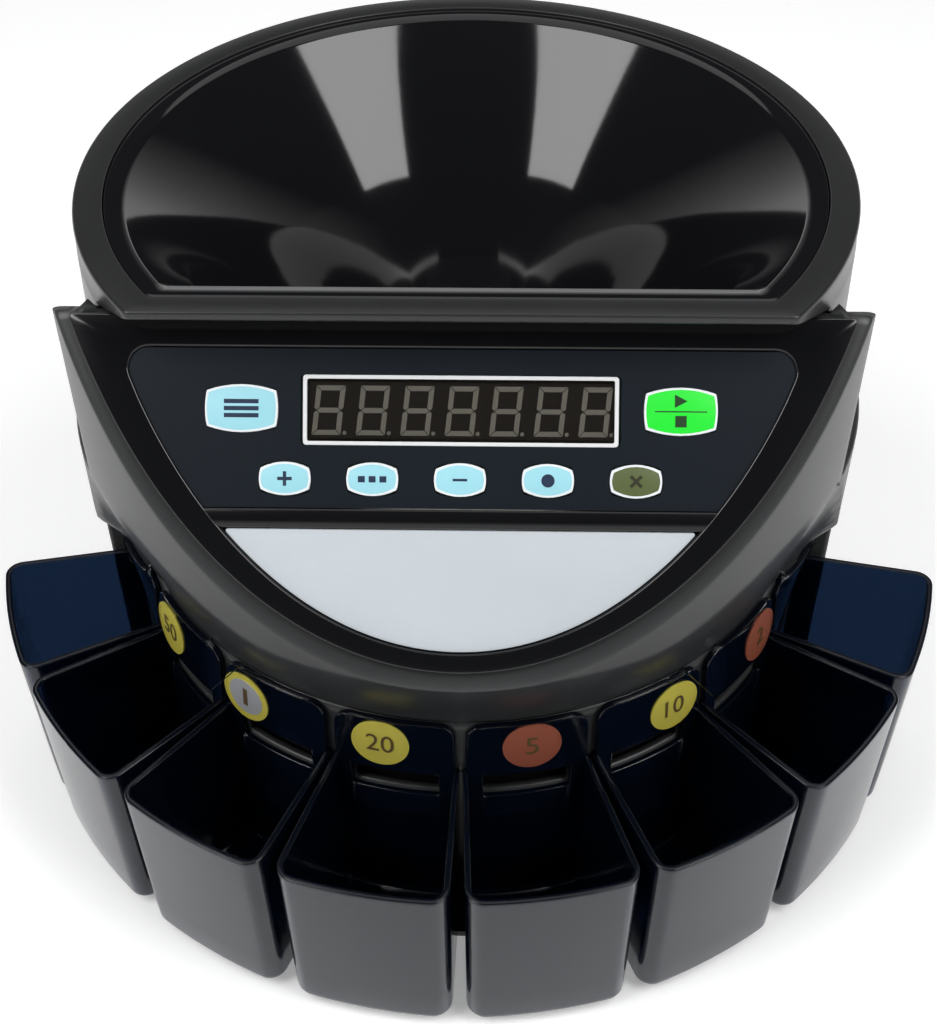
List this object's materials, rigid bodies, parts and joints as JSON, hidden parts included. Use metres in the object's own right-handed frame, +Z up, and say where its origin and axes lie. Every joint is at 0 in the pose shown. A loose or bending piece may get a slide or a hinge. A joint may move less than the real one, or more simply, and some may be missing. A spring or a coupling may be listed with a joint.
{
  "type": "coin sorting machine",
  "caption": "Counter-top coin sorting machine: round drum with a D-shaped feed hopper, sloped keypad console and a fan of pull-out coin cups.",
  "frame": {"origin": "on the table under the middle of the machine's bounding box", "axes": "+Z up, the cups and the console face -Y, +X to the right of a person standing in front"},
  "size_m": [0.3658, 0.3326, 0.243],
  "materials": {
    "black_gloss": "gloss black moulding",
    "charcoal_satin": "satin charcoal moulding",
    "funnel_gloss": "high gloss black moulding",
    "slate_overlay": "dark slate printed sheet",
    "pale_plate": "pale blue-white plate",
    "white_frame": "white frame",
    "smoke_window": "brown-black smoked window",
    "digit_grey": "display module",
    "key_blue": "light blue key",
    "key_green": "green key",
    "key_olive": "olive key",
    "cup_navy": "gloss dark blue-black moulding",
    "board_green": "circuit board laminate",
    "steel": "zinc plated steel",
    "brass": "turned brass",
    "white_resin": "natural white resin",
    "grey_resin": "grey resin",
    "rubber_black": "black rubber",
    "inlet_black": "black moulding",
    "winding_yellow": "taped winding",
    "switch_red": "red rocker"
  },
  "bodies": {
    "housing": {"base_plate": "black_gloss", "drum_shell": "black_gloss", "exit_wall": "black_gloss", "chute_ring": "grey_resin", "sorting_deck": "grey_resin", "shaft_bush": "brass", "motor_stand": "steel", "motor": "steel", "main_board": "board_green", "transformer": "winding_yellow", "rear_panel": "charcoal_satin", "mains_inlet": "inlet_black", "switch_frame": "inlet_black", "key_board": "board_green", "display_module": "digit_grey", "display_window": "smoke_window", "display_frame": "white_frame", "keypad_overlay": "slate_overlay", "crescent_plate": "pale_plate", "console_bezel": "black_gloss", "foot_1": "rubber_black", "foot_2": "rubber_black", "foot_3": "rubber_black", "foot_4": "rubber_black"},
    "hopper": {"hopper_cover": "charcoal_satin", "hopper_funnel": "funnel_gloss"},
    "feed_disc": {"coin_disc": "white_resin", "disc_gear": "white_resin"},
    "pinion": {"motor_pinion": "brass"},
    "rocker": {"power_rocker": "switch_red"},
    "key_report": {"key_report": "key_blue"},
    "key_start_stop": {"key_start_stop": "key_green"},
    "key_plus": {"key_plus": "key_blue"},
    "key_batch": {"key_batch": "key_blue"},
    "key_minus": {"key_minus": "key_blue"},
    "key_set": {"key_set": "key_blue"},
    "key_clear": {"key_clear": "key_olive"},
    "cup_1": {"coin_cup_1": "cup_navy"},
    "cup_2": {"coin_cup_2": "cup_navy"},
    "cup_3": {"coin_cup_3": "cup_navy"},
    "cup_4": {"coin_cup_4": "cup_navy"},
    "cup_5": {"coin_cup_5": "cup_navy"},
    "cup_6": {"coin_cup_6": "cup_navy"},
    "cup_7": {"coin_cup_7": "cup_navy"},
    "cup_8": {"coin_cup_8": "cup_navy"}
  },
  "joints": [
    {"name": "hopper_lift", "type": "slide", "parent": "housing", "child": "hopper", "axis": [0, 0, 1], "range_m": [0, 0.05]},
    {"name": "disc_spin", "type": "hinge", "parent": "housing", "child": "feed_disc", "pos_m": [0, 0.02045, 0.122], "axis": [0, 0, 1], "continuous": true},
    {"name": "pinion_spin", "type": "hinge", "parent": "housing", "child": "pinion", "pos_m": [0, 0.0776, 0.1], "axis": [0, 0, 1], "continuous": true},
    {"name": "power_rock", "type": "hinge", "parent": "housing", "child": "rocker", "pos_m": [0.019, 0.15837, 0.042], "axis": [1, 0, 0], "range_deg": [0, 16]},
    {"name": "key_report_press", "type": "slide", "parent": "housing", "child": "key_report", "axis": [0, 0.7554, -0.6553], "range_m": [0, 0.0006], "stiffness_N_per_m": 800},
    {"name": "key_start_stop_press", "type": "slide", "parent": "housing", "child": "key_start_stop", "axis": [0, 0.7554, -0.6553], "range_m": [0, 0.0006], "stiffness_N_per_m": 800},
    {"name": "key_plus_press", "type": "slide", "parent": "housing", "child": "key_plus", "axis": [0, 0.7554, -0.6553], "range_m": [0, 0.0006], "stiffness_N_per_m": 800},
    {"name": "key_batch_press", "type": "slide", "parent": "housing", "child": "key_batch", "axis": [0, 0.7554, -0.6553], "range_m": [0, 0.0006], "stiffness_N_per_m": 800},
    {"name": "key_minus_press", "type": "slide", "parent": "housing", "child": "key_minus", "axis": [0, 0.7554, -0.6553], "range_m": [0, 0.0006], "stiffness_N_per_m": 800},
    {"name": "key_set_press", "type": "slide", "parent": "housing", "child": "key_set", "axis": [0, 0.7554, -0.6553], "range_m": [0, 0.0006], "stiffness_N_per_m": 800},
    {"name": "key_clear_press", "type": "slide", "parent": "housing", "child": "key_clear", "axis": [0, 0.7554, -0.6553], "range_m": [0, 0.0006], "stiffness_N_per_m": 800},
    {"name": "cup_1_draw", "type": "slide", "parent": "housing", "child": "cup_1", "axis": [-0.9438, -0.3305, 0], "range_m": [0, 0.06]},
    {"name": "cup_2_draw", "type": "slide", "parent": "housing", "child": "cup_2", "axis": [-0.7716, -0.6361, 0], "range_m": [0, 0.06]},
    {"name": "cup_3_draw", "type": "slide", "parent": "housing", "child": "cup_3", "axis": [-0.5045, -0.8634, 0], "range_m": [0, 0.06]},
    {"name": "cup_4_draw", "type": "slide", "parent": "housing", "child": "cup_4", "axis": [-0.1754, -0.9845, 0], "range_m": [0, 0.06]},
    {"name": "cup_5_draw", "type": "slide", "parent": "housing", "child": "cup_5", "axis": [0.1754, -0.9845, 0], "range_m": [0, 0.06]},
    {"name": "cup_6_draw", "type": "slide", "parent": "housing", "child": "cup_6", "axis": [0.5045, -0.8634, 0], "range_m": [0, 0.06]},
    {"name": "cup_7_draw", "type": "slide", "parent": "housing", "child": "cup_7", "axis": [0.7716, -0.6361, 0], "range_m": [0, 0.06]},
    {"name": "cup_8_draw", "type": "slide", "parent": "housing", "child": "cup_8", "axis": [0.9438, -0.3305, 0], "range_m": [0, 0.06]}
  ],
  "couplings": [
    {"joint": "pinion_spin", "follows": "disc_spin", "ratio": -3.75}
  ]
}
